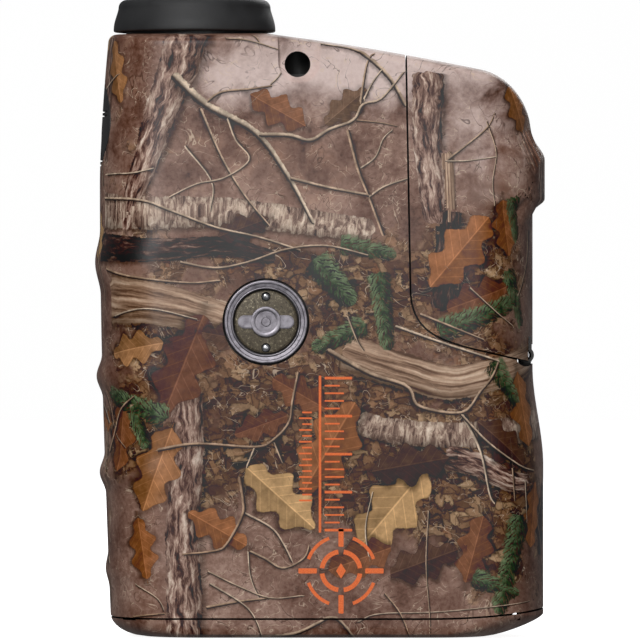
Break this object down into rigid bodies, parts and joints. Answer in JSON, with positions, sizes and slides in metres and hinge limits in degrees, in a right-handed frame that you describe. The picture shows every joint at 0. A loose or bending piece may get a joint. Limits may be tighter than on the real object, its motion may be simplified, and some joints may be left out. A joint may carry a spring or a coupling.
{
  "type": "laser rangefinder",
  "caption": "Pocket laser rangefinder with a camouflage body, rubber eyecup with focusing ring, hinged battery door, buttons, viewing and laser optics.",
  "frame": {"origin": "centre of the flat lens end that the rangefinder stands on", "axes": "+Z from the lens end up to the eyepiece, +X to the underside with the battery door, -Y out of the side with the badge"},
  "size_m": [0.0735, 0.036, 0.104],
  "materials": {
    "camo_plastic": "satin printed camouflage over moulded plastic",
    "black_plastic": "matt moulded",
    "black_rubber": "soft matt",
    "satin_metal": "satin cast",
    "dark_metal": "black anodised",
    "steel": "plated",
    "brass": "plated",
    "bronze_enamel": "textured",
    "glass": "polished and coated",
    "coated_glass": "polished with a coloured coating",
    "circuit_board": "solder mask",
    "battery_sleeve": "printed sleeve"
  },
  "bodies": {
    "housing": {"left_shell": "camo_plastic", "right_shell": "camo_plastic", "front_bezel": "camo_plastic", "shell_screw_1": "steel", "shell_screw_2": "steel", "shell_screw_3": "steel", "shell_screw_4": "steel", "door_hinge_pin": "steel", "battery_contact_plate": "steel", "battery_contact_spring": "steel", "badge_pin_upper": "steel", "badge_pin_lower": "steel", "door_gasket": "black_rubber", "button_pad": "black_rubber", "eyepiece_seal": "black_rubber", "objective_gasket": "black_rubber", "laser_gasket": "black_rubber", "battery_holder": "black_plastic", "fire_switch": "black_plastic", "mode_switch": "black_plastic", "eyepiece_tube": "black_plastic", "objective_retainer": "black_plastic", "prism_cage": "black_plastic", "laser_retainer": "black_plastic", "receiver_mount": "black_plastic", "processor_chip": "black_plastic", "flash_capacitor": "black_plastic", "objective_barrel": "dark_metal", "optical_chassis": "dark_metal", "laser_barrel": "dark_metal", "laser_holder": "dark_metal", "roof_prism": "glass", "display_panel": "glass", "laser_lens": "glass", "objective_lens": "coated_glass", "display_flex": "brass", "laser_diode": "brass", "receiver_diode": "brass", "button_board": "circuit_board", "main_board": "circuit_board", "badge_ring": "satin_metal", "badge_emblem": "satin_metal", "badge_disc": "bronze_enamel", "battery_cell": "battery_sleeve"},
    "battery_door_body": {"battery_door": "camo_plastic"},
    "eyepiece_ring_body": {"diopter_ring": "black_plastic", "eyecup": "black_rubber"},
    "lens_cell_body": {"lens_cell": "dark_metal", "eye_lens": "glass", "eye_lens_retainer": "black_plastic", "field_lens": "glass"},
    "fire_button_body": {"fire_button": "black_rubber"},
    "mode_button_body": {"mode_button": "black_rubber"}
  },
  "joints": [
    {"name": "battery_door_hinge", "type": "hinge", "parent": "housing", "child": "battery_door_body", "pos_m": [0.03355, 0, 0.0459], "axis": [0, 1, 0], "range_deg": [0, 85]},
    {"name": "diopter_turn", "type": "hinge", "parent": "housing", "child": "eyepiece_ring_body", "pos_m": [-0.02055, 0, 0.098], "axis": [0, 0, 1], "range_deg": [-60, 60]},
    {"name": "lens_cell_slide", "type": "slide", "parent": "housing", "child": "lens_cell_body", "axis": [0, 0, 1], "range_m": [-0.0008, 0.0008]},
    {"name": "fire_button_press", "type": "slide", "parent": "housing", "child": "fire_button_body", "axis": [1, 0, 0], "range_m": [0, 0.0008], "stiffness_N_per_m": 1200},
    {"name": "mode_button_press", "type": "slide", "parent": "housing", "child": "mode_button_body", "axis": [1, 0, 0], "range_m": [0, 0.0007], "stiffness_N_per_m": 1200}
  ],
  "couplings": [
    {"joint": "diopter_turn", "follows": "lens_cell_slide", "rad_per_m": 1308.9}
  ]
}
